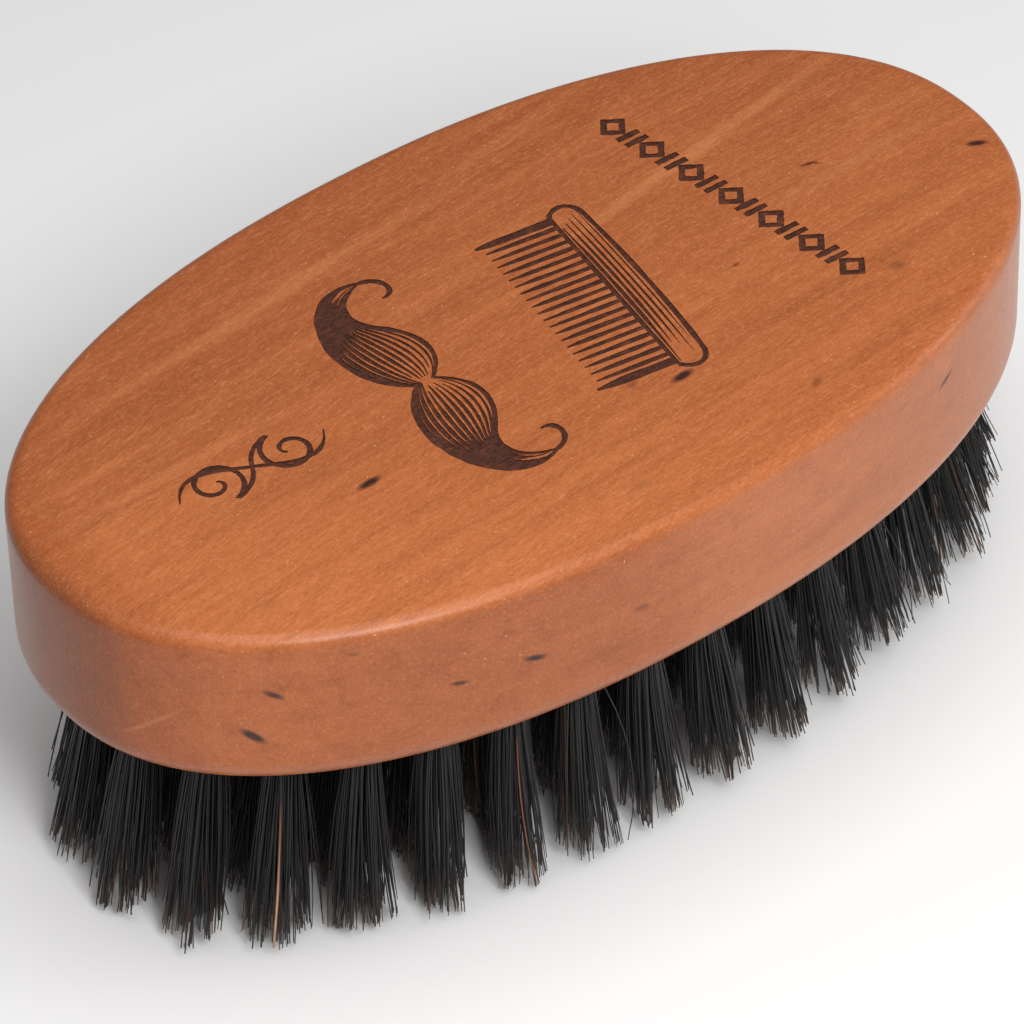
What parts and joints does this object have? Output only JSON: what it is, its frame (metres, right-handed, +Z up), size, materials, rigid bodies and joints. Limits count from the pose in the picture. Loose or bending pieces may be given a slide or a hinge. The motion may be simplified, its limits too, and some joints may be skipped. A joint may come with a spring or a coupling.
{
  "type": "beard brush",
  "caption": "Oval palm beard brush: a flat-backed pearwood block with rounded edges, bored with blind holes that hold leaning, flared tufts of dark boar bristle.",
  "frame": {"origin": "centre of the bristle-tip plane that the brush stands on", "axes": "+X along the block's length, +Z up, from the bristle tips to the flat wooden back"},
  "size_m": [0.115, 0.063, 0.0443],
  "materials": {
    "pearwood": "satin oiled pearwood, orange-brown, fine grain along the block",
    "boar_bristle": "natural black boar bristle with a soft sheen, brown at some tips",
    "anchor_wire": "flat drawn wire, dull"
  },
  "bodies": {
    "root": {"wood_block": "pearwood", "edge_tuft_01": "boar_bristle", "edge_tuft_02": "boar_bristle", "edge_tuft_03": "boar_bristle", "edge_tuft_04": "boar_bristle", "edge_tuft_05": "boar_bristle", "edge_tuft_06": "boar_bristle", "edge_tuft_07": "boar_bristle", "edge_tuft_08": "boar_bristle", "edge_tuft_09": "boar_bristle", "edge_tuft_10": "boar_bristle", "edge_tuft_11": "boar_bristle", "edge_tuft_12": "boar_bristle", "edge_tuft_13": "boar_bristle", "edge_tuft_14": "boar_bristle", "edge_tuft_15": "boar_bristle", "edge_tuft_16": "boar_bristle", "edge_tuft_17": "boar_bristle", "edge_tuft_18": "boar_bristle", "edge_tuft_19": "boar_bristle", "edge_tuft_20": "boar_bristle", "edge_tuft_21": "boar_bristle", "edge_tuft_22": "boar_bristle", "edge_tuft_23": "boar_bristle", "edge_tuft_24": "boar_bristle", "edge_tuft_25": "boar_bristle", "edge_tuft_26": "boar_bristle", "edge_tuft_27": "boar_bristle", "edge_tuft_28": "boar_bristle", "edge_tuft_29": "boar_bristle", "edge_tuft_30": "boar_bristle", "edge_tuft_31": "boar_bristle", "edge_tuft_32": "boar_bristle", "second_row_tuft_01": "boar_bristle", "second_row_tuft_02": "boar_bristle", "second_row_tuft_03": "boar_bristle", "second_row_tuft_04": "boar_bristle", "second_row_tuft_05": "boar_bristle", "second_row_tuft_06": "boar_bristle", "second_row_tuft_07": "boar_bristle", "second_row_tuft_08": "boar_bristle", "second_row_tuft_09": "boar_bristle", "second_row_tuft_10": "boar_bristle", "second_row_tuft_11": "boar_bristle", "second_row_tuft_12": "boar_bristle", "second_row_tuft_13": "boar_bristle", "second_row_tuft_14": "boar_bristle", "second_row_tuft_15": "boar_bristle", "second_row_tuft_16": "boar_bristle", "second_row_tuft_17": "boar_bristle", "second_row_tuft_18": "boar_bristle", "second_row_tuft_19": "boar_bristle", "second_row_tuft_20": "boar_bristle", "second_row_tuft_21": "boar_bristle", "second_row_tuft_22": "boar_bristle", "second_row_tuft_23": "boar_bristle", "second_row_tuft_24": "boar_bristle", "second_row_tuft_25": "boar_bristle", "inner_tufts": "boar_bristle"}
  },
  "joints": []
}
